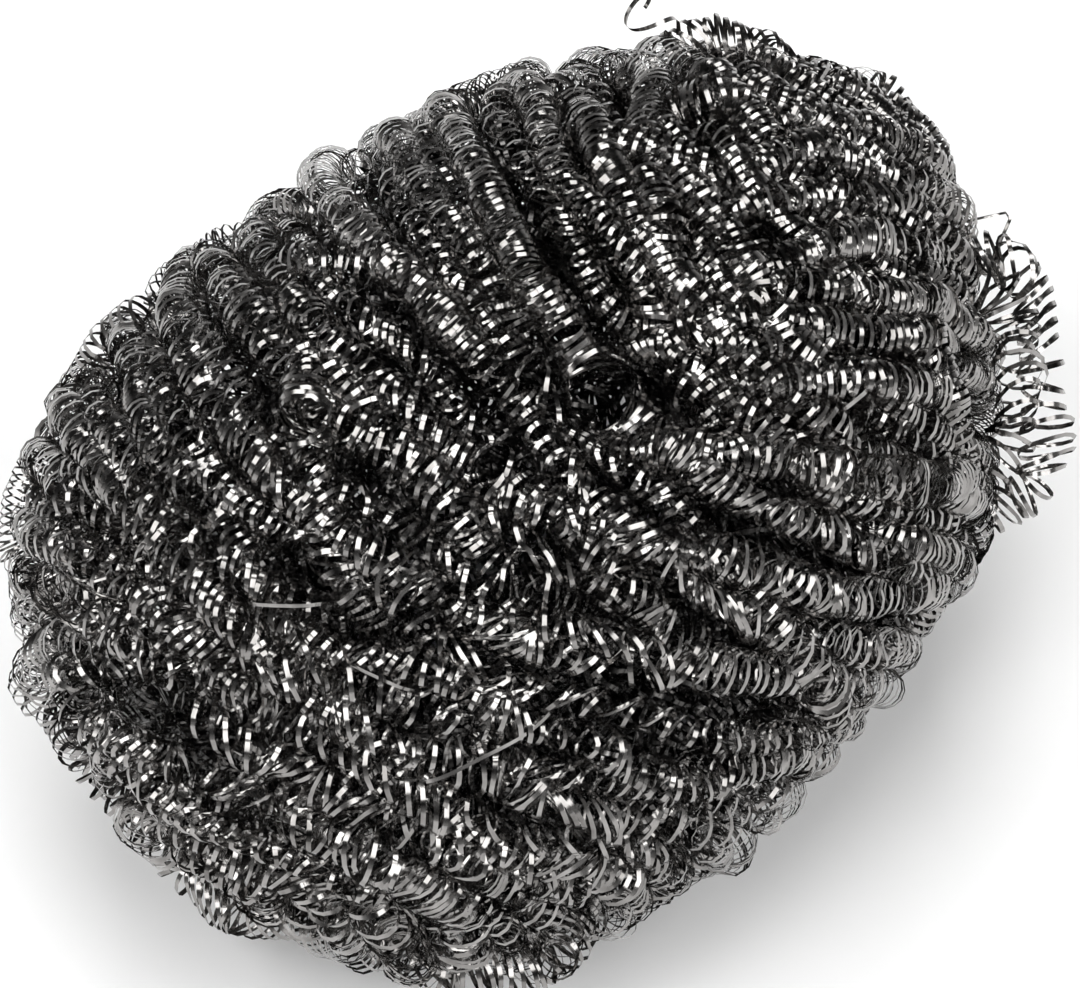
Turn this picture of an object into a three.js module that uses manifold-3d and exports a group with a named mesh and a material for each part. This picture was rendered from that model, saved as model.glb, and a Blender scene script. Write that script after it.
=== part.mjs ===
// A stainless steel scourer: long coils of flat steel ribbon, wound up into one egg-shaped lump.
// Each coil is drawn as a tube of its outer diameter. The tubes lie side by side over the packed inside of
// the lump, and each end is tucked in. Millimetres, +Z up, +X towards the slim end. The origin is the
// middle of the lump's outline on the surface that it rests on.

import * as THREE from "three";
import { mergeVertices } from "three/addons/utils/BufferGeometryUtils.js";
import Module from "manifold-3d";

const wasm = await Module();
wasm.setup();

// The lump, before its underside is pressed flat. The blunt end is fuller than the middle by this share.
const LUMP_LENGTH = 102;
const LUMP_WIDTH = 72;
const LUMP_HEIGHT = 62;
const BLUNT_END_SHARE = 0.12;
const FOOT_FLAT = 4;

// The coils, and how closely they lie: from middle to middle, and where one that runs closer is tucked in
const COIL_DIAMETER = 3.8;
const COIL_SPACING = 4.4;
const CLOSEST_SPACING = 3.6;
const SHORTEST_COIL = 14;
const LONGEST_COIL = 420;
const TUCK_LENGTH = 7;
const TUCK_DEPTH = 6;
const GROOVE_DEPTH = 1.2;

// How the coils are wound: in rings round a pole, slanting in towards it, and straying from side to side
const POLE = { longitude: 12, latitude: 12 };
const SLANT = -6;
const STRAY_WAVES = [
  { angle: 24, x: -0.4, y: 0.9, z: 2.2, from: 1.9 },
  { angle: 8, x: -4.1, y: 1.2, z: -2.4, from: 2.0 },
];
const FIRST_COIL = { longitude: -150, latitude: 45 };

// Hollows in the lump, as places on it, how far they spread in degrees, and depths. The last one is a bulge.
const HOLLOWS = [
  { longitude: -114, latitude: 65, spread: 9, depth: 5 },
  { longitude: -84, latitude: -14, spread: 8, depth: 2.5 },
  { longitude: -3, latitude: 16, spread: 29, depth: 3.5 },
  { longitude: -32, latitude: 2, spread: 28, depth: 6 },
  { longitude: 180, latitude: -15, spread: 20, depth: 1.5 },
  { longitude: 100, latitude: 32, spread: 22, depth: 3 },
  { longitude: 50, latitude: 37, spread: 18, depth: 2 },
  { longitude: -132, latitude: -28, spread: 18, depth: -2.5 },
];

// Coils that lie over the others, as arches between two places on the lump, and the height of the gap below
// each one. One hangs loose at the slim end. The other two are pressed down between the coils below.
const ARCHES = [
  { from: [-32, 31], to: [-66, -8], gap: 2.4 },
  { from: [-124, 60], to: [-64, 2], gap: -2.6 },
  { from: [32, 66], to: [-40, 40], gap: -2.4 },
];
const ARCH_LEVELNESS = 4;

// Openings where the coils part, as places on the lump and radii. Each one narrows to a point inside.
const OPENINGS = [
  { longitude: -114, latitude: 65, radius: 2.8 },
  { longitude: -141, latitude: 57, radius: 1.6 },
  { longitude: -132, latitude: 44, radius: 1.7 },
  { longitude: -178, latitude: 57, radius: 1.5 },
  { longitude: -98, latitude: 13, radius: 2 },
  { longitude: -88, latitude: 10, radius: 1.5 },
  { longitude: -168, latitude: -40, radius: 2.2 },
  { longitude: 30, latitude: 20, radius: 1.6 },
  { longitude: 70, latitude: 20, radius: 1.9 },
  { longitude: 118, latitude: 48, radius: 1.7 },
  { longitude: 150, latitude: 8, radius: 1.8 },
];
const OPENING_DEPTH = 13;

// How finely the shapes are drawn
const WINDING_STEP = 1;
const SEED_EVERY = 3;
const SEED_SLACK = 0.5;
const TUBE_STEP = 7.5;
const ARCH_STEP = 5;
const TUBE_SIDES = 6;
const INSIDE_DETAIL = 5;
const ARCH_POINTS = 12;
const OPENING_SIDES = 8;

function towards(longitude, latitude) {
  const lon = THREE.MathUtils.degToRad(longitude);
  const lat = THREE.MathUtils.degToRad(latitude);
  return new THREE.Vector3(Math.cos(lat) * Math.cos(lon), Math.cos(lat) * Math.sin(lon), Math.sin(lat));
}

const pole = towards(POLE.longitude, POLE.latitude);
const hollows = HOLLOWS.map(({ longitude, latitude, spread, depth }) => ({
  at: towards(longitude, latitude),
  spread: THREE.MathUtils.degToRad(spread),
  depth,
}));

// The point of the lump in a direction from its middle, a depth below its outside
function lumpPoint(way, depth) {
  const fullness = 1 - BLUNT_END_SHARE * way.x;
  let inward = depth;
  for (const hollow of hollows) {
    const off = way.angleTo(hollow.at) / hollow.spread;
    inward += hollow.depth * Math.exp(-off * off);
  }
  return new THREE.Vector3(
    way.x * (LUMP_LENGTH / 2 - inward),
    way.y * ((LUMP_WIDTH / 2) * fullness - inward),
    way.z * ((LUMP_HEIGHT / 2) * fullness - inward),
  );
}

function coilPoint(way) {
  return lumpPoint(way, COIL_DIAMETER / 2);
}

// The way that the winding runs at a direction, as a unit vector along the lump
function windingAt(way) {
  const ring = pole.clone().cross(way).normalize();
  const inward = way.clone().cross(ring);
  let slant = SLANT;
  for (const wave of STRAY_WAVES) {
    slant += wave.angle * Math.sin(wave.x * way.x + wave.y * way.y + wave.z * way.z + wave.from);
  }
  const angle = THREE.MathUtils.degToRad(slant);
  return ring.multiplyScalar(Math.cos(angle)).addScaledVector(inward, Math.sin(angle));
}

// The direction a distance on from this one, along a unit vector
function stepFrom(way, along, distance) {
  const size = distance / LUMP_LENGTH;
  const tried = way.clone().addScaledVector(along, size).normalize();
  const length = coilPoint(tried).distanceTo(coilPoint(way));
  return way.clone().addScaledVector(along, (size * distance) / length).normalize();
}

function isFree(point, others, distance) {
  const square = distance * distance;
  return others.every((other) => point.distanceToSquared(other.point) >= square);
}

// One half of a coil's run, from its first direction until it meets a coil that is already there
function halfRun(first, sense, laid, ownOther) {
  const run = [];
  const lookBack = Math.ceil((2 * CLOSEST_SPACING) / WINDING_STEP);
  let way = first;
  while (run.length * WINDING_STEP < LONGEST_COIL / 2) {
    way = stepFrom(way, windingAt(way).multiplyScalar(sense), WINDING_STEP);
    const point = coilPoint(way);
    const own = run.slice(0, Math.max(0, run.length - lookBack));
    const back = ownOther.slice(Math.max(0, lookBack - run.length));
    if (![laid, own, back].every((others) => isFree(point, others, CLOSEST_SPACING))) {
      break;
    }
    run.push({ way, point });
  }
  return run;
}

function growCoil(first, laid) {
  const forward = halfRun(first, 1, laid, []);
  const backward = halfRun(first, -1, laid, forward);
  return [...backward.reverse(), { way: first, point: coilPoint(first) }, ...forward];
}

// Coils that cover the lump, each one beside those before it
function windCoils() {
  const coils = [growCoil(towards(FIRST_COIL.longitude, FIRST_COIL.latitude), [])];
  const laid = [...coils[0]];
  for (const coil of coils) {
    for (let i = 0; i < coil.length; i += SEED_EVERY) {
      const { way } = coil[i];
      const across = way.clone().cross(windingAt(way));
      for (const side of [1, -1]) {
        const seed = stepFrom(way, across.clone().multiplyScalar(side), COIL_SPACING);
        if (!isFree(coilPoint(seed), laid, COIL_SPACING - SEED_SLACK)) {
          continue;
        }
        const grown = growCoil(seed, laid);
        if (grown.length * WINDING_STEP >= SHORTEST_COIL) {
          coils.push(grown);
          laid.push(...grown);
        }
      }
    }
  }
  return coils;
}

// The points of a tucked end, from the coil's last direction on and down into the lump
function tuck(way, sense) {
  const points = [];
  for (let distance = WINDING_STEP; distance <= TUCK_LENGTH; distance += WINDING_STEP) {
    way = stepFrom(way, windingAt(way).multiplyScalar(sense), WINDING_STEP);
    points.push(lumpPoint(way, COIL_DIAMETER / 2 + (TUCK_DEPTH * distance) / TUCK_LENGTH));
  }
  return points;
}

function coilRoute(coil) {
  const before = tuck(coil[0].way, -1).reverse();
  const after = tuck(coil[coil.length - 1].way, 1);
  return [...before, ...coil.map(({ point }) => point), ...after];
}

// The points of an arch, up out of the lump, level along most of its length and down again
function archRoute({ from, to, gap }) {
  const rise = gap + COIL_DIAMETER;
  const start = towards(...from);
  const end = towards(...to);
  const points = [];
  for (let i = 0; i <= ARCH_POINTS; i += 1) {
    const share = i / ARCH_POINTS;
    const way = start.clone().lerp(end, share).normalize();
    const level = 1 - (2 * share - 1) ** ARCH_LEVELNESS;
    const height = (rise + TUCK_DEPTH) * level - TUCK_DEPTH;
    points.push(lumpPoint(way, COIL_DIAMETER / 2 - height));
  }
  return points;
}

function solidFrom(geometry) {
  geometry.deleteAttribute("normal");
  geometry.deleteAttribute("uv");
  const merged = mergeVertices(geometry);
  const vertProperties = new Float32Array(merged.attributes.position.array);
  const triVerts = new Uint32Array(merged.index.array);
  return new wasm.Manifold(new wasm.Mesh({ numProp: 3, vertProperties, triVerts }));
}

function tubeSolid(route, step) {
  const path = new THREE.CatmullRomCurve3(route);
  const section = new THREE.Shape().absarc(0, 0, COIL_DIAMETER / 2, 0, 2 * Math.PI);
  const steps = Math.ceil(path.getLength() / step);
  const curveSegments = TUBE_SIDES / 2;
  return solidFrom(
    new THREE.ExtrudeGeometry(section, { steps, curveSegments, extrudePath: path, bevelEnabled: false }),
  );
}

function insideSolid() {
  const geometry = new THREE.IcosahedronGeometry(1, INSIDE_DETAIL);
  const places = geometry.attributes.position;
  for (let i = 0; i < places.count; i += 1) {
    const way = new THREE.Vector3().fromBufferAttribute(places, i).normalize();
    places.setXYZ(i, ...lumpPoint(way, GROOVE_DEPTH));
  }
  return solidFrom(geometry);
}

// The cone that an opening takes out, from its point inside to above the coils
function openingSolid({ longitude, latitude, radius }) {
  const top = lumpPoint(towards(longitude, latitude), 0);
  const height = OPENING_DEPTH + COIL_DIAMETER;
  const cone = new THREE.ConeGeometry((radius * height) / OPENING_DEPTH, height, OPENING_SIDES);
  cone.translate(0, -height / 2, 0);
  const inward = top.clone().normalize().negate();
  cone.applyQuaternion(new THREE.Quaternion().setFromUnitVectors(new THREE.Vector3(0, 1, 0), inward));
  cone.translate(...top.addScaledVector(inward, OPENING_DEPTH));
  return solidFrom(cone);
}

// All that lies below the flat foot
function belowFoot() {
  const block = new THREE.BoxGeometry(2 * LUMP_LENGTH, 2 * LUMP_LENGTH, LUMP_HEIGHT);
  block.translate(0, 0, FOOT_FLAT - LUMP_HEIGHT);
  return solidFrom(block);
}

function scourer() {
  const coils = windCoils().map((coil) => tubeSolid(coilRoute(coil), TUBE_STEP));
  const arches = ARCHES.map((arch) => tubeSolid(archRoute(arch), ARCH_STEP));
  const wound = [...coils, ...arches].reduce((solid, tube) => solid.add(tube), insideSolid());
  const lump = OPENINGS.reduce((solid, opening) => solid.subtract(openingSolid(opening)), wound);
  const { vertProperties, triVerts } = lump.subtract(belowFoot()).getMesh();
  const geometry = new THREE.BufferGeometry();
  geometry.setAttribute("position", new THREE.BufferAttribute(vertProperties, 3));
  geometry.setIndex(new THREE.BufferAttribute(triVerts, 1));
  geometry.computeVertexNormals();
  geometry.computeBoundingBox();
  const steel = new THREE.MeshStandardMaterial({ color: 0x8a8885, roughness: 0.25, metalness: 1 });
  const mesh = new THREE.Mesh(geometry, steel);
  mesh.name = "wound_coils";
  const middle = geometry.boundingBox.getCenter(new THREE.Vector3());
  mesh.position.set(-middle.x, -middle.y, -geometry.boundingBox.min.z);
  return mesh;
}

const group = new THREE.Group();
group.add(scourer());

export default group;
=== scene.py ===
"""The looks of a stainless steel scourer: long coils of flat steel ribbon, wound into one egg-shaped lump.

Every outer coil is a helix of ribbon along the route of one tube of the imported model, and more coils fill
the grooves and the inside. Routes are in millimetres from the middle of the lump, and a place on it is a
direction from there, as longitude and latitude in degrees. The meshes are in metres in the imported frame.
"""

import math
from dataclasses import dataclass

import bpy
import numpy as np
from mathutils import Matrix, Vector


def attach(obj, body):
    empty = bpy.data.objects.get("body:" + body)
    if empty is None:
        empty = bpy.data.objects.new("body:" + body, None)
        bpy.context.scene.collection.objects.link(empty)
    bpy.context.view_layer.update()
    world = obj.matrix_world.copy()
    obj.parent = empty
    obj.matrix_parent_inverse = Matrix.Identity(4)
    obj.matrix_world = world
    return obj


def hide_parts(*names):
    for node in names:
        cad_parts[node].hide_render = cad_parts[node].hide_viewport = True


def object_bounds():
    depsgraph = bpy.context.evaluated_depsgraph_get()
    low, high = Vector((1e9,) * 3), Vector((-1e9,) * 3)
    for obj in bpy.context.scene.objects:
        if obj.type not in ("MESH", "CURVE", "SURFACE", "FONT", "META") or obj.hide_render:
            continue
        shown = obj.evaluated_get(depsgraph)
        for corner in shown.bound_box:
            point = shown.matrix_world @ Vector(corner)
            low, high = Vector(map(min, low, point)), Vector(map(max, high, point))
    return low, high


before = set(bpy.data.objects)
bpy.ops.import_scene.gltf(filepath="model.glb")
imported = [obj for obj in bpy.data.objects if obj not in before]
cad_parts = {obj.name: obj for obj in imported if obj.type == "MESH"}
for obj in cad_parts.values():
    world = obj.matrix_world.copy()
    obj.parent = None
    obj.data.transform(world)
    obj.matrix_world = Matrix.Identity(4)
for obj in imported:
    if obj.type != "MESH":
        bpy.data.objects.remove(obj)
cad_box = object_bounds()

MILLIMETRE = 0.001
UP = (0, 0, 1)
NODE = "wound_coils"

# The lump and its winding, as in the part's source
LUMP_LENGTH = 102
LUMP_WIDTH = 72
LUMP_HEIGHT = 62
BLUNT_END_SHARE = 0.12
FOOT_FLAT = 4
COIL_DIAMETER = 3.8
COIL_SPACING = 4.4
CLOSEST_SPACING = 3.6
SHORTEST_COIL = 14
LONGEST_COIL = 420
TUCK_LENGTH = 7
TUCK_DEPTH = 6
POLE = (12, 12)
SLANT = -6
FIRST_COIL = (-150, 45)

# How the winding's slant waves over the lump: by how many degrees, along which vector and from which phase
STRAY_WAVES = [
    (24, (-0.4, 0.9, 2.2), 1.9),
    (8, (-4.1, 1.2, -2.4), 2.0),
]

# Where the lump is dented, or bulges: the place, the spread in degrees and the depth
HOLLOWS = [
    ((-114, 65), 9, 5),
    ((-84, -14), 8, 2.5),
    ((-3, 16), 29, 3.5),
    ((-32, 2), 28, 6),
    ((180, -15), 20, 1.5),
    ((100, 32), 22, 3),
    ((50, 37), 18, 2),
    ((-132, -28), 18, -2.5),
]

# How the routes are worked out: their steps, where the next coils start, and how level the arches are
WINDING_STEP = 1
SEED_EVERY = 3
SEED_SLACK = 0.5
ARCH_POINTS = 60
ARCH_LEVELNESS = 4

# The ribbon: its widths and thickness, the step at which it is worked out, the height over the floor below
# which it is pressed flat, and its corners in section
RIBBON_WIDTH = 0.39
FINE_WIDTH = 0.2
RIBBON_THICKNESS = 0.06
FINE_STEP = 0.2
PRESSED_HEIGHT = 1.6
SIDES = 3

# The most triangles in one piece
MOST_TRIANGLES = 190_000


@dataclass(frozen=True)
class Layer:
    """One layer of coils: its depth and how far it comes up where it is loose, how its coils are spaced, how
    far they keep clear of what they lie beside, the pole they are wound around and their slant in degrees.
    Then the least and the most of the turns' radius and of their pitch, and how many segments a turn has."""

    name: str
    depth: float
    rise: float
    spacing: float
    closest: float
    clearance: float
    pole: tuple
    slant: float
    radius: tuple
    pitch: tuple
    segments: int


OUTER = Layer(
    "outer_coils", depth=0, rise=0, spacing=COIL_SPACING, closest=CLOSEST_SPACING, clearance=0,
    pole=POLE, slant=SLANT, radius=(1.55, 1.95), pitch=(0.58, 1.0), segments=14,
)
GROOVE = Layer(
    "groove_coils", depth=0.4, rise=0.3, spacing=COIL_SPACING, closest=CLOSEST_SPACING, clearance=1.6,
    pole=POLE, slant=SLANT, radius=(1.3, 1.7), pitch=(1.0, 1.4), segments=11,
)
INNER = Layer(
    "inner_coils", depth=3.4, rise=0, spacing=4.8, closest=4, clearance=4,
    pole=(60, 40), slant=10, radius=(1.8, 2.1), pitch=(1.2, 1.6), segments=7,
)
HEART = Layer(
    "heart_coils", depth=7, rise=0, spacing=5.2, closest=4.4, clearance=4,
    pole=(-60, 30), slant=20, radius=(2, 2.4), pitch=(1.8, 2.2), segments=7,
)
CORE = Layer(
    "core_coils", depth=13, rise=0, spacing=4.6, closest=4, clearance=0,
    pole=(100, 20), slant=35, radius=(2.1, 2.5), pitch=(0.95, 1.15), segments=7,
)


@dataclass
class Arch:
    """A coil that lies over the others: the places of its ends, the gap below it, which is negative where it
    sinks in, the pitch and the radius of its turns, how loose it is from 0 to 1, and its ribbon's width."""

    start: tuple
    end: tuple
    gap: float
    pitch: float
    radius: float
    loose: float
    width: float = RIBBON_WIDTH


# The arches of the part's source
ARCHES = [
    Arch((-32, 31), (-66, -8), 2.4, 0.85, 2.0, 0.8),
    Arch((-124, 60), (-64, 2), -2.6, 0.8, 1.9, 0.1),
    Arch((32, 66), (-40, 40), -2.4, 0.75, 1.9, 0.1),
]

# More coils that stand a little loose at the outline, and two across the slim end
FRINGES = [
    Arch((-36, 28), (-64, -4), -1.0, 0.8, 2.1, 0.8),
    Arch((84, 40), (56, 38), -4.0, 0.5, 1.9, 0.1, FINE_WIDTH),
    Arch((120, 24), (102, 30), -3.6, 0.5, 1.8, 0.1, FINE_WIDTH),
    Arch((152, 4), (130, 18), -4.0, 0.5, 1.8, 0.1, FINE_WIDTH),
    Arch((-154, -24), (-120, -26), -3.2, 0.8, 2.0, 0.8),
    Arch((-18, 34), (36, -8), -3.8, 0.7, 1.9, 0.2),
    Arch((44, 34), (-8, -16), -4.0, 0.7, 1.8, 0.3),
]

# Coils that lie over the others across the slim half, from place to place, and how they all lie and coil
OVERLAY_PLACES = [
    ((-16, 80), (-17, 42)),
    ((2, 70), (-24, 34)),
    ((-56, 78), (-35, 38)),
    ((-76, 74), (-42, 32)),
    ((-84, 69), (-51, 29)),
    ((-102, 73), (-58, 25)),
    ((-100, 62), (-62, 20)),
    ((12, 78), (-84, 72)),
]
OVERLAY_GAP = -3.1
OVERLAY_PITCH = 0.7
OVERLAY_RADIUS = 1.85
OVERLAY_LOOSENESS = 0.2

# A loose tuft along the edge that is at the upper right in the photograph
TUFT = Arch((48, 49), (-12, 30), -2.9, 0.5, 1.9, 0.45)

# Short coils that lie across the others, at places spread evenly over the lump: how many, their lengths,
# how far they turn aside from the winding in degrees, the gaps below them, and the angle to the next one
CROSSINGS = 40
CROSSING_LENGTH = (16, 34)
CROSSING_TURN = (15, 45)
CROSSING_GAP = (-4.2, -3.6)
GOLDEN_ANGLE = 137.5

# Places where the coils part and leave a dark opening, with its radius
PARTINGS = [
    ((-114, 65), 2.8),
    ((-141, 57), 1.6),
    ((-132, 44), 1.7),
    ((-178, 57), 1.5),
    ((-98, 13), 2.0),
    ((-88, 10), 1.5),
    ((-168, -40), 2.2),
    ((30, 20), 1.6),
    ((70, 20), 1.9),
    ((118, 48), 1.7),
    ((150, 8), 1.8),
    ((-76, 62), 1.5),
    ((-79, 41), 1.6),
    ((91, 86), 1.4),
    ((-136, 69), 1.3),
]

# How far around an opening the coils give way, in its radii, how deep it goes, how many times its length a
# ribbon may be stretched there before it breaks, and the fewest points of a ribbon that is left
PARTING_REACH = 2.2
PARTING_DEPTH = 13
MOST_STRETCH = 2
SHORTEST_RUN = 5

# Straight ribbons that lie over the coils, from place to place, with their width, height and tucked ends
STRAYS = [
    ((-143, 19), (-128, 27)),
    ((-170, 37), (-159, 40)),
    ((-155, 35), (-144, 31)),
    ((70, -2), (52, 8)),
    ((122, -8), (136, 4)),
]
STRAY_WIDTH = 0.3
STRAY_HEIGHT = 0.3
STRAY_TUCK = 1.6
STRAY_POINTS = 24

# A crooked ribbon end at the slim end: places and heights above the lump
CROOK = [((-30, 28), -1), ((-31, 25.7), 2.7), ((-32, 24.8), 2.9), ((-35, 22.7), 1.2)]

# The curl that springs out at the top, stretched at its root and closed at its tip: where it starts, the
# direction of its middle line, and its turns around that line from a starting angle in degrees
CURL_ROOT = (36, 50)
CURL_HEIGHT = 0.6
CURL_WAY = (118, 43)
CURL_LENGTH = 4.9
CURL_SLOWING = 3
CURL_RADIUS = 1.64
CURL_START = -38
CURL_TURNS = -1.37
CURL_POINTS = 48


@dataclass
class Wander:
    """How a value strays: the length between new values, and its spread in tight and in loose coils."""

    every: float
    tight: float
    loose: float


# What strays along a coil's length in millimetres
PITCH_WANDER = Wander(6, 0.2, 0.35)
SWAY_WANDER = Wander(11, 0.9, 1.1)
LIFT_WANDER = Wander(9, 0.45, 0.6)

# What strays from turn to turn
RADIUS_WANDER = Wander(1.5, 0.05, 0.13)
SQUASH_WANDER = Wander(3, 0.07, 0.15)
TILT_WANDER = Wander(2.2, 0.3, 1.0)
TWIST_WANDER = Wander(1.8, 0.22, 0.4)
STRAY_WANDER = Wander(5, 0.35, 0.35)

# The low near side, where the coils are loose and their turns lie every way: its place, its spread in
# degrees, and how many times wider the pitch is in its middle
LOOSE_PLACE = (-146, 12)
LOOSE_SPREAD = 54
LOOSE_PITCH = 1.5

# The steel: its patches, their darkest and brightest tones, darker inside the lump as painted shade, and
# their roughness
PATCH_SCALE = 420
PATCH_DETAIL = 3
STEEL_TONES = ((0.15, 0.144, 0.138, 1), (0.37, 0.359, 0.349, 1))
# Painted shade: the same steel in darker tones for the inner, heart and core layers, standing in for the
# shade deep inside the lump
SHADED_INSIDE_TONES = ((0.045, 0.043, 0.041, 1), (0.11, 0.107, 0.104, 1))
SHADED_INSIDE_LAYERS = [INNER.name, HEART.name, CORE.name]
STEEL_SPREAD = (0.3, 0.7)
STEEL_ROUGHNESS = (0.1, 0.22)

# The photograph's view: the camera's direction in degrees, its distance and how far beside the middle it
# aims in metres, and its lens and sensor in millimetres
CAMERA_AZIMUTH = -45
CAMERA_ELEVATION = 50
CAMERA_DISTANCE = 0.3735
CAMERA_LENS = 150
SENSOR_WIDTH = 36
AIM_RIGHT = -0.0012
AIM_UP = -0.0040

# The pale floor in metres, and the room: pale near the horizon, dark overhead
FLOOR_HALF = 1.5
FLOOR_SPECKLE = 40
FLOOR_DARK = (0.88, 0.88, 0.88, 1)
FLOOR_BRIGHT = (0.91, 0.91, 0.91, 1)
FLOOR_ROUGHNESS = 0.6
HORIZON_TONE = (0.5, 0.5, 0.5, 1)
OVERHEAD_TONE = (0.015, 0.015, 0.015, 1)
OVERHEAD_FROM = 0.45


@dataclass
class Softbox:
    """A soft light: the direction and the distance in metres that it stands in, its size and its power."""

    name: str
    azimuth: float
    elevation: float
    distance: float
    size: tuple
    power: float


SOFTBOXES = [
    Softbox("softbox_left", -100, 50, 1.2, (1.1, 0.8), 12),
    Softbox("softbox_right", 15, 40, 1.2, (1.1, 0.8), 11),
    Softbox("softbox_back", 140, 55, 1.2, (0.7, 0.5), 5),
    Softbox("softbox_top", -45, 82, 1.2, (0.5, 0.4), 4),
]


def towards(longitude, latitude):
    """The unit vector of a direction."""
    lon, lat = math.radians(longitude), math.radians(latitude)
    return np.array([math.cos(lat) * math.cos(lon), math.cos(lat) * math.sin(lon), math.sin(lat)])


def unit(v):
    return v / np.linalg.norm(v, axis=-1, keepdims=True)


hollows = [(towards(*place), math.radians(spread), depth) for place, spread, depth in HOLLOWS]


def lump_point(way, depth):
    """The point of the lump in a direction from its middle, a depth below its outside."""
    fullness = 1 - BLUNT_END_SHARE * way[0]
    inward = depth
    for at, spread, hollow in hollows:
        off = math.acos(min(1.0, max(-1.0, float(way @ at)))) / spread
        inward += hollow * math.exp(-off * off)
    half = np.array([LUMP_LENGTH / 2, LUMP_WIDTH / 2 * fullness, LUMP_HEIGHT / 2 * fullness])
    return way * (half - inward)


class Winding:
    """Coils laid side by side over one layer of the lump."""

    def __init__(self, layer, beside=()):
        self.layer = layer
        self.depth = layer.depth + COIL_DIAMETER / 2
        self.pole = towards(*layer.pole)
        self.beside = [self.point(way) for way in beside]
        self.laid = np.empty((0, 3))
        self.coils = []

    def depth_at(self, way):
        """How deep the coils' middles lie in a direction."""
        return self.depth - self.layer.rise * looseness(way)

    def point(self, way):
        return lump_point(way, self.depth_at(way))

    def along(self, way):
        """The way that the winding runs at a direction, as a unit vector along the lump."""
        ring = unit(np.cross(self.pole, way))
        inward = np.cross(way, ring)
        slant = self.layer.slant
        for angle, wave, start in STRAY_WAVES:
            slant += angle * math.sin(float(np.dot(wave, way)) + start)
        turn = math.radians(slant)
        return ring * math.cos(turn) + inward * math.sin(turn)

    def step(self, way, along, distance):
        """The direction a distance on from this one, along a unit vector."""
        size = distance / LUMP_LENGTH
        tried = unit(way + along * size)
        length = np.linalg.norm(self.point(tried) - self.point(way))
        return unit(way + along * (size * distance / length))

    def half_run(self, first, sense, own_other):
        """Directions from the first one on, until the coil meets another or comes back to itself. Its own
        points within twice the closest distance along it don't stop it."""
        ways, points = [], []
        look_back = math.ceil(2 * self.layer.closest / WINDING_STEP)
        way = first
        while len(ways) * WINDING_STEP < LONGEST_COIL / 2:
            way = self.step(way, self.along(way) * sense, WINDING_STEP)
            point = self.point(way)
            own = points[: max(0, len(points) - look_back)]
            back = own_other[max(0, look_back - len(points)):]
            if not all(is_free(point, others, self.layer.closest) for others in (self.laid, own, back)):
                break
            if not is_free(point, self.beside, self.layer.clearance):
                break
            ways.append(way)
            points.append(point)
        return ways, points

    def grow(self, first):
        """The directions of one coil, grown both ways from its first one."""
        forward, ahead = self.half_run(first, 1, [])
        backward, _ = self.half_run(first, -1, ahead)
        return [*reversed(backward), first, *forward]

    def lay(self, coil):
        self.coils.append(coil)
        self.laid = np.vstack([self.laid, [self.point(way) for way in coil]])

    def wind(self):
        """Lays coils beside those that are there, also beside the new ones, until the layer is full."""
        first = towards(*FIRST_COIL)
        while not is_free(self.point(first), self.beside, self.layer.clearance):
            first = self.step(first, np.cross(first, self.along(first)), WINDING_STEP)
        self.lay(self.grow(first))
        for coil in self.coils:
            for way in coil[::SEED_EVERY]:
                across = np.cross(way, self.along(way))
                for side in (1, -1):
                    seed = self.step(way, across * side, self.layer.spacing)
                    if not is_free(self.point(seed), self.laid, self.layer.spacing - SEED_SLACK):
                        continue
                    grown = self.grow(seed)
                    if len(grown) * WINDING_STEP >= SHORTEST_COIL:
                        self.lay(grown)

    def tuck(self, way, sense):
        """The points of a tucked end, from the coil's last direction on and down into the lump."""
        points = []
        for i in range(1, int(TUCK_LENGTH / WINDING_STEP) + 1):
            way = self.step(way, self.along(way) * sense, WINDING_STEP)
            deeper = TUCK_DEPTH * i * WINDING_STEP / TUCK_LENGTH
            points.append(lump_point(way, self.depth_at(way) + deeper))
        return points

    def routes(self):
        """The points of every coil, with its tucked ends."""
        for coil in self.coils:
            before = self.tuck(coil[0], -1)[::-1]
            after = self.tuck(coil[-1], 1)
            yield np.array([*before, *(self.point(way) for way in coil), *after])


def is_free(point, others, distance):
    """Whether a point keeps a distance from all others."""
    if len(others) == 0:
        return True
    apart = np.asarray(others) - point
    return float(np.einsum("ij,ij->i", apart, apart).min()) >= distance * distance


def over_route(ways, gap):
    """The points of a coil over the others: out of the lump, level along most of its way and in again."""
    rise = gap + COIL_DIAMETER
    level = 1 - np.linspace(-1, 1, len(ways)) ** ARCH_LEVELNESS
    heights = (rise + TUCK_DEPTH) * level - TUCK_DEPTH
    return np.array([lump_point(way, COIL_DIAMETER / 2 - height) for way, height in zip(ways, heights)])


def ways_between(start, end, count):
    """Directions from one place to another, in a plane through the lump's middle."""
    share = np.linspace(0, 1, count)[:, None]
    return unit(towards(*start) * (1 - share) + towards(*end) * share)


def arch_route(arch):
    return over_route(ways_between(arch.start, arch.end, ARCH_POINTS), arch.gap)


def crossing_route(winding, first, rng):
    """The points of a short coil across the winding, over a first direction."""
    turn = math.radians(rng.uniform(*CROSSING_TURN) * rng.choice((-1, 1)))
    steps = int(rng.uniform(*CROSSING_LENGTH) / 2 / WINDING_STEP)
    sides = []
    for sense in (-1, 1):
        ways = [first]
        for _ in range(steps):
            along = winding.along(ways[-1])
            aside = along * math.cos(turn) + np.cross(ways[-1], along) * math.sin(turn)
            ways.append(winding.step(ways[-1], aside * sense, WINDING_STEP))
        sides.append(ways)
    return over_route([*reversed(sides[0]), *sides[1][1:]], rng.uniform(*CROSSING_GAP))


def looseness(points):
    """How loose the coils are at points of the lump, from 0 to 1."""
    off = np.arccos(np.clip(unit(points) @ towards(*LOOSE_PLACE), -1, 1)) / math.radians(LOOSE_SPREAD)
    return np.exp(-off * off)


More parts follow.
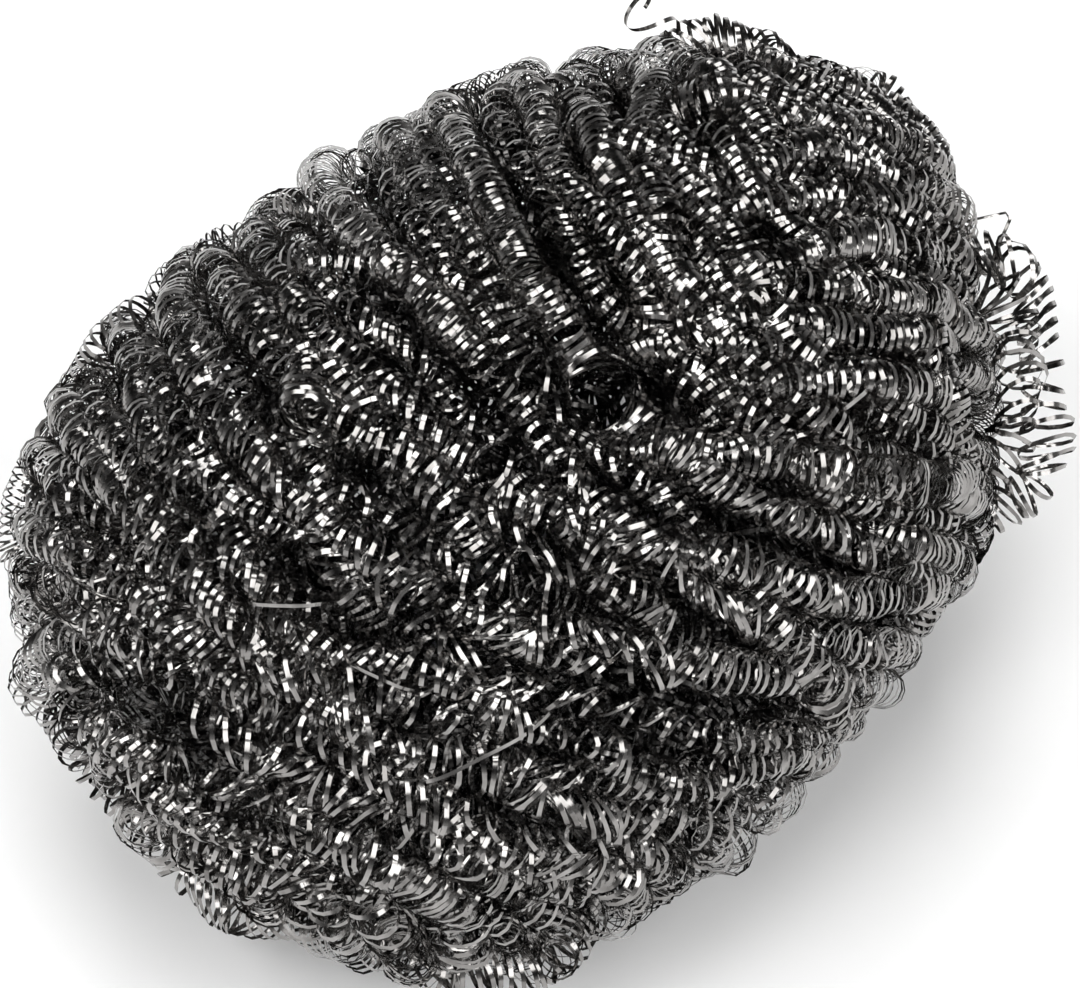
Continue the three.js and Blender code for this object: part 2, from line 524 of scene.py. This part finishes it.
def parted(points):
    """Points moved aside from the openings, which narrow with the depth."""
    for place, opening in PARTINGS:
        top = lump_point(towards(*place), 0)
        axis = unit(top)
        height = points @ axis
        aside = points - height[:, None] * axis
        off = np.linalg.norm(aside, axis=1)
        narrowed = opening * np.clip(1 - (top @ axis - height) / PARTING_DEPTH, 0, 1)
        moved = np.hypot(off, narrowed * np.exp(-((off / (PARTING_REACH * opening)) ** 2)))
        points = points + aside * (moved / off - 1)[:, None]
    return points


def strayed(rng, along, wander, loose):
    """Values that stray smoothly along a length, further where the coil is loose."""
    knots = rng.normal(0, 1, int(along[-1] / wander.every) + 2)
    knot = (along / wander.every).astype(int)
    share = along / wander.every - knot
    eased = share * share * (3 - 2 * share)
    spread = wander.tight + (wander.loose - wander.tight) * loose
    return (spread * (knots[knot] * (1 - eased) + knots[knot + 1] * eased))[:, None]


def carried_frames(route):
    """Unit vectors along a route and two across it, carried along without twist."""
    tangents = unit(np.gradient(route, axis=0))
    across = np.empty_like(route)
    side = np.cross(tangents[0], route[0])
    for i, tangent in enumerate(tangents):
        side = unit(side - tangent * (side @ tangent))
        across[i] = side
    return tangents, across, np.cross(tangents, across)


def between(at, along, vectors):
    """Vectors at lengths between those that are given."""
    return np.stack([np.interp(at, along, values) for values in vectors.T], axis=1)


def step_lengths(line):
    return np.linalg.norm(np.diff(line, axis=0), axis=1)


def coil_ribbons(route, radius, pitch, segments, rng, least_loose=0, width=RIBBON_WIDTH):
    """The ribbon of one coil along a route, broken where an opening would stretch it."""
    along = np.concatenate([[0], np.cumsum(step_lengths(route))])
    fine = np.arange(0, along[-1], FINE_STEP)
    loose = np.maximum(least_loose, looseness(between(fine, along, route)))
    pitches = pitch * LOOSE_PITCH ** loose * np.exp(strayed(rng, fine, PITCH_WANDER, loose)[:, 0])
    turned = np.concatenate([[0], np.cumsum(FINE_STEP / pitches[:-1])])
    turns = np.arange(0, turned[-1], 1 / segments)
    at = np.interp(turns, turned, fine)
    loose = np.interp(at, fine, loose)
    tangents, across, up = (between(at, along, v) for v in carried_frames(route))
    angle = 2 * math.pi * turns[:, None]
    outward = across * np.cos(angle) + up * np.sin(angle)
    squash = np.cos(2 * angle) * strayed(rng, turns, SQUASH_WANDER, loose)
    reach = radius * (1 + squash + strayed(rng, turns, RADIUS_WANDER, loose))
    tilt = np.sin(angle) * strayed(rng, turns, TILT_WANDER, loose)
    tilt = tilt + np.cos(angle) * strayed(rng, turns, TILT_WANDER, loose)
    middle = between(at, along, route)
    middle = middle + across * strayed(rng, at, SWAY_WANDER, loose)
    middle = middle + up * strayed(rng, at, LIFT_WANDER, loose)
    wound = middle + outward * reach + tangents * tilt
    line = parted(wound)
    twist = strayed(rng, turns, TWIST_WANDER, loose)
    stretch = step_lengths(line) / step_lengths(wound)
    for run in np.split(np.arange(len(line)), np.flatnonzero(stretch > MOST_STRETCH) + 1):
        if len(run) >= SHORTEST_RUN:
            yield sweep(line[run], outward[run], twist[run], width)


def sweep(line, outward, twist, width=RIBBON_WIDTH):
    """A closed ribbon along a line, flat outside and ridged inside, facing outward but turned by twist."""
    ahead = unit(np.gradient(line, axis=0))
    wide = unit(np.cross(ahead, outward))
    facing = np.cross(wide, ahead)
    wide, facing = (
        wide * np.cos(twist) + facing * np.sin(twist),
        facing * np.cos(twist) - wide * np.sin(twist),
    )
    half_wide = wide * width / 2
    return np.stack([line + half_wide, line - half_wide, line - facing * RIBBON_THICKNESS], axis=1)


def placed(corners, shift):
    """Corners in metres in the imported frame, with what would go below the floor pressed flat on it."""
    moved = corners + shift
    low = moved[..., 2]
    pressed = PRESSED_HEIGHT * np.exp((low - PRESSED_HEIGHT) / PRESSED_HEIGHT)
    moved[..., 2] = np.where(low < PRESSED_HEIGHT, pressed, low)
    return moved * MILLIMETRE


def ribbon_faces(sections, first):
    """The faces along a ribbon of so many sections, counted from its first corner, and its two end faces."""
    start = first + SIDES * np.arange(sections - 1)[:, None]
    ahead = start + SIDES
    corner = np.arange(SIDES)
    follow = (corner + 1) % SIDES
    sides = np.stack([start + corner, ahead + corner, ahead + follow, start + follow], axis=2)
    last = first + SIDES * (sections - 1)
    return np.concatenate(sides), np.array([first + corner, last + corner[::-1]])


def mesh_of(name, corners, loops, starts):
    """A mesh from its corners, the numbers of those around one face after another, and each face's start."""
    mesh = bpy.data.meshes.new(name)
    mesh.vertices.add(len(corners))
    mesh.vertices.foreach_set("co", corners.astype(np.float32).ravel())
    mesh.loops.add(len(loops))
    mesh.loops.foreach_set("vertex_index", loops.astype(np.int32))
    mesh.polygons.add(len(starts))
    mesh.polygons.foreach_set("loop_start", starts.astype(np.int32))
    mesh.update(calc_edges=True)
    return mesh


def shade_ribbons(mesh):
    """Smooth along each ribbon, and sharp at the edges that run along it from one section to the next."""
    mesh.shade_smooth()
    edges = np.empty(len(mesh.edges) * 2, np.int32)
    mesh.edges.foreach_get("vertices", edges)
    runs_along = np.abs(np.diff(edges.reshape(-1, 2), axis=1)).ravel() == SIDES
    sharp = mesh.attributes.new("sharp_edge", "BOOLEAN", "EDGE")
    sharp.data.foreach_set("value", runs_along)


def add_piece(name, ribbons, material):
    """One piece of several closed ribbons."""
    corners = np.concatenate([ribbon.reshape(-1, 3) for ribbon in ribbons])
    counts = [len(ribbon) for ribbon in ribbons]
    firsts = np.concatenate([[0], np.cumsum(counts)[:-1]]) * SIDES
    sides, ends = map(np.concatenate, zip(*map(ribbon_faces, counts, firsts)))
    loops = np.concatenate([sides.ravel(), ends.ravel()])
    side_starts = np.arange(0, sides.size, sides.shape[1])
    end_starts = np.arange(sides.size, len(loops), SIDES)
    mesh = mesh_of(name, corners, loops, np.concatenate([side_starts, end_starts]))
    shade_ribbons(mesh)
    mesh.materials.append(material)
    piece = bpy.data.objects.new(name, mesh)
    bpy.context.scene.collection.objects.link(piece)
    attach(piece, "root")
    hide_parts(NODE)


def triangles(ribbon):
    """How many triangles a ribbon has: two on each side of each section, and one at each end."""
    return 2 * SIDES * (len(ribbon) - 1) + 2


def add_pieces(name, ribbons, material):
    """Pieces of as many ribbons as stay under the most triangles that a piece may have."""
    groups = [[]]
    for ribbon in ribbons:
        if sum(map(triangles, groups[-1])) + triangles(ribbon) > MOST_TRIANGLES:
            groups.append([])
        groups[-1].append(ribbon)
    for number, group in enumerate(groups, 1):
        add_piece(f"{name}_{number}", group, material)


def stray_ribbon(start, end, rng):
    """A straight ribbon over the coils, from place to place, with its ends tucked in."""
    ways = ways_between(start, end, STRAY_POINTS)
    depths = STRAY_TUCK * np.linspace(-1, 1, STRAY_POINTS) ** ARCH_LEVELNESS - STRAY_HEIGHT
    line = np.array([lump_point(way, depth) for way, depth in zip(ways, depths)])
    along = np.linspace(0, 1, STRAY_POINTS) * np.linalg.norm(line[-1] - line[0])
    tight = np.zeros(STRAY_POINTS)
    line = line + ways * strayed(rng, along, STRAY_WANDER, tight)
    return sweep(line, ways, strayed(rng, along, STRAY_WANDER, tight), STRAY_WIDTH)


def crook_ribbon():
    """The crooked end, straight between its bends."""
    line = np.array([lump_point(towards(*place), -height) for place, height in CROOK])
    return sweep(line, np.tile(UP, (len(CROOK), 1)), np.zeros((len(CROOK), 1)), STRAY_WIDTH)


def curl_ribbon():
    """The curl that springs out at the top, around a straight middle line."""
    way = towards(*CURL_WAY)
    side = unit(np.cross(way, towards(*CURL_ROOT)))
    share = np.linspace(0, 1, CURL_POINTS)[:, None]
    angle = math.radians(CURL_START) + 2 * math.pi * CURL_TURNS * share
    outward = side * np.cos(angle) + np.cross(way, side) * np.sin(angle)
    root = lump_point(towards(*CURL_ROOT), -CURL_HEIGHT)
    advance = CURL_LENGTH * (1 - (1 - share) ** CURL_SLOWING)
    line = root + way * advance + (outward - outward[0]) * CURL_RADIUS
    return sweep(line, outward, np.zeros((CURL_POINTS, 1)))


def layer_ribbons(number, layer, routes):
    """The ribbons of one layer, each coil with a size and a pitch of its own."""
    for i, route in enumerate(routes):
        rng = np.random.default_rng([number, i])
        radius = rng.uniform(*layer.radius)
        pitch = rng.uniform(*layer.pitch)
        yield from coil_ribbons(route, radius, pitch, layer.segments, rng)


def arch_ribbons(number, arches):
    """The ribbons of the coils that lie over the others from place to place."""
    for i, arch in enumerate(arches):
        rng = np.random.default_rng([number, i])
        route = arch_route(arch)
        turns = (arch.radius, arch.pitch, OUTER.segments)
        yield from coil_ribbons(route, *turns, rng, arch.loose, arch.width)


def crossing_ribbons(number, winding):
    """Short coils across the others, at places spread evenly over the lump from its top down."""
    for i in range(CROSSINGS):
        rng = np.random.default_rng([number, i])
        latitude = math.degrees(math.asin(1 - (2 * i + 1) / CROSSINGS))
        route = crossing_route(winding, towards(i * GOLDEN_ANGLE, latitude), rng)
        radius = rng.uniform(*OUTER.radius)
        pitch = rng.uniform(*OUTER.pitch)
        yield from coil_ribbons(route, radius, pitch, OUTER.segments, rng)


def wound_layers():
    """The windings of all layers: the outer one, the one in its grooves, and those inside, which keep clear
    of the openings down to the core."""
    outer = Winding(OUTER)
    outer.wind()
    openings = [towards(*place) for place, _ in PARTINGS]
    lies_beside = {GROOVE: np.concatenate(outer.coils), INNER: openings, HEART: openings, CORE: ()}
    windings = [outer]
    for layer, beside in lies_beside.items():
        winding = Winding(layer, beside)
        winding.wind()
        windings.append(winding)
    return windings


def all_ribbons(windings):
    """The ribbons by the names of their pieces: layer by layer, then what lies over them."""
    ribbons = {}
    for number, winding in enumerate(windings):
        ribbons[winding.layer.name] = list(layer_ribbons(number, winding.layer, winding.routes()))
    overlays = [
        Arch(start, end, OVERLAY_GAP, OVERLAY_PITCH, OVERLAY_RADIUS, OVERLAY_LOOSENESS)
        for start, end in OVERLAY_PLACES
    ]
    ribbons["arch_coils"] = list(arch_ribbons(len(ribbons), [*ARCHES, *FRINGES, *overlays, TUFT]))
    ribbons["crossing_coils"] = list(crossing_ribbons(len(ribbons), windings[0]))
    rng = np.random.default_rng(len(STRAYS))
    strays = [stray_ribbon(start, end, rng) for start, end in STRAYS]
    ribbons["loose_ribbons"] = [*strays, crook_ribbon(), curl_ribbon()]
    return ribbons


def packed_shift(winding):
    """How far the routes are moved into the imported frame, which has the part's middle over its origin."""
    points = np.concatenate([*winding.routes(), *map(arch_route, ARCHES)])
    shift = -(points.min(axis=0) + points.max(axis=0)) / 2
    shift[2] = LUMP_HEIGHT / 2 - FOOT_FLAT
    return shift


def add_coils():
    """All coils and loose ribbons, of steel with painted shade inside the lump: the inner layers get darker
    tones.
    """
    steel = steel_material("steel_ribbon", STEEL_TONES)
    shaded_inside_steel = steel_material("painted_shade_ribbon", SHADED_INSIDE_TONES)
    windings = wound_layers()
    shift = packed_shift(windings[0])
    for name, ribbons in all_ribbons(windings).items():
        # The inner layers get the darker steel as painted shade
        material = shaded_inside_steel if name in SHADED_INSIDE_LAYERS else steel
        add_pieces(name, [placed(ribbon, shift) for ribbon in ribbons], material)


def tone_ramp(nodes, places, colors):
    """A ramp from one colour to another between two places."""
    ramp = nodes.new("ShaderNodeValToRGB")
    for element, place, color in zip(ramp.color_ramp.elements, places, colors):
        element.position = place
        element.color = color
    return ramp


def steel_material(name, tones):
    """Drawn steel, in patches that are slightly uneven in tone and in gloss."""
    material = bpy.data.materials.new(name)
    material.use_nodes = True
    nodes, links = material.node_tree.nodes, material.node_tree.links
    shader = nodes["Principled BSDF"]
    shader.inputs["Metallic"].default_value = 1.0
    place = nodes.new("ShaderNodeTexCoord")
    patches = nodes.new("ShaderNodeTexNoise")
    patches.inputs["Scale"].default_value = PATCH_SCALE
    patches.inputs["Detail"].default_value = PATCH_DETAIL
    links.new(place.outputs["Object"], patches.inputs["Vector"])
    tone = tone_ramp(nodes, STEEL_SPREAD, tones)
    links.new(patches.outputs["Fac"], tone.inputs["Fac"])
    links.new(tone.outputs["Color"], shader.inputs["Base Color"])
    gloss = nodes.new("ShaderNodeMapRange")
    gloss.inputs["To Min"].default_value, gloss.inputs["To Max"].default_value = STEEL_ROUGHNESS
    links.new(patches.outputs["Fac"], gloss.inputs["Value"])
    links.new(gloss.outputs["Result"], shader.inputs["Roughness"])
    return material


def floor_material():
    """A pale, matt floor, very slightly uneven in tone."""
    material = bpy.data.materials.new("floor")
    material.use_nodes = True
    nodes, links = material.node_tree.nodes, material.node_tree.links
    shader = nodes["Principled BSDF"]
    shader.inputs["Roughness"].default_value = FLOOR_ROUGHNESS
    speckle = nodes.new("ShaderNodeTexNoise")
    speckle.inputs["Scale"].default_value = FLOOR_SPECKLE
    tone = tone_ramp(nodes, (0, 1), (FLOOR_DARK, FLOOR_BRIGHT))
    links.new(speckle.outputs["Fac"], tone.inputs["Fac"])
    links.new(tone.outputs["Color"], shader.inputs["Base Color"])
    return material


def add_floor():
    mesh = bpy.data.meshes.new("floor")
    corners = [(-FLOOR_HALF, -FLOOR_HALF, 0), (FLOOR_HALF, -FLOOR_HALF, 0),
               (FLOOR_HALF, FLOOR_HALF, 0), (-FLOOR_HALF, FLOOR_HALF, 0)]
    mesh.from_pydata(corners, [], [(0, 1, 2, 3)])
    mesh.materials.append(floor_material())
    floor = bpy.data.objects.new("floor", mesh)
    bpy.context.scene.collection.objects.link(floor)


def back_vector(azimuth, elevation):
    """The unit vector from what is seen back to where it is seen from."""
    a, e = math.radians(azimuth), math.radians(elevation)
    return Vector((math.sin(a) * math.cos(e), -math.cos(a) * math.cos(e), math.sin(e)))


def add_camera(middle):
    data = bpy.data.cameras.new("camera")
    data.lens = CAMERA_LENS
    data.sensor_width = SENSOR_WIDTH
    camera = bpy.data.objects.new("camera", data)
    back = back_vector(CAMERA_AZIMUTH, CAMERA_ELEVATION)
    turn = (-back).to_track_quat("-Z", "Y")
    aim = middle + turn @ Vector((AIM_RIGHT, AIM_UP, 0))
    camera.location = aim + back * CAMERA_DISTANCE
    camera.rotation_mode = "QUATERNION"
    camera.rotation_quaternion = turn
    bpy.context.scene.collection.objects.link(camera)
    bpy.context.scene.camera = camera


def add_softbox(softbox, middle):
    data = bpy.data.lights.new(softbox.name, "AREA")
    data.shape = "RECTANGLE"
    data.size, data.size_y = softbox.size
    data.energy = softbox.power
    light = bpy.data.objects.new(softbox.name, data)
    back = back_vector(softbox.azimuth, softbox.elevation)
    light.location = middle + back * softbox.distance
    light.rotation_mode = "QUATERNION"
    light.rotation_quaternion = (-back).to_track_quat("-Z", "Y")
    bpy.context.scene.collection.objects.link(light)


def add_world():
    """A dim room: pale near the horizon and dark overhead."""
    world = bpy.data.worlds.new("room")
    world.use_nodes = True
    nodes, links = world.node_tree.nodes, world.node_tree.links
    place = nodes.new("ShaderNodeTexCoord")
    split = nodes.new("ShaderNodeSeparateXYZ")
    links.new(place.outputs["Generated"], split.inputs["Vector"])
    tone = tone_ramp(nodes, (0, OVERHEAD_FROM), (HORIZON_TONE, OVERHEAD_TONE))
    links.new(split.outputs["Z"], tone.inputs["Fac"])
    links.new(tone.outputs["Color"], nodes["Background"].inputs["Color"])
    bpy.context.scene.world = world


middle = (cad_box[0] + cad_box[1]) / 2
add_coils()
add_floor()
add_camera(middle)
for softbox in SOFTBOXES:
    add_softbox(softbox, middle)
add_world()
bpy.context.scene.view_settings.view_transform = "Standard"
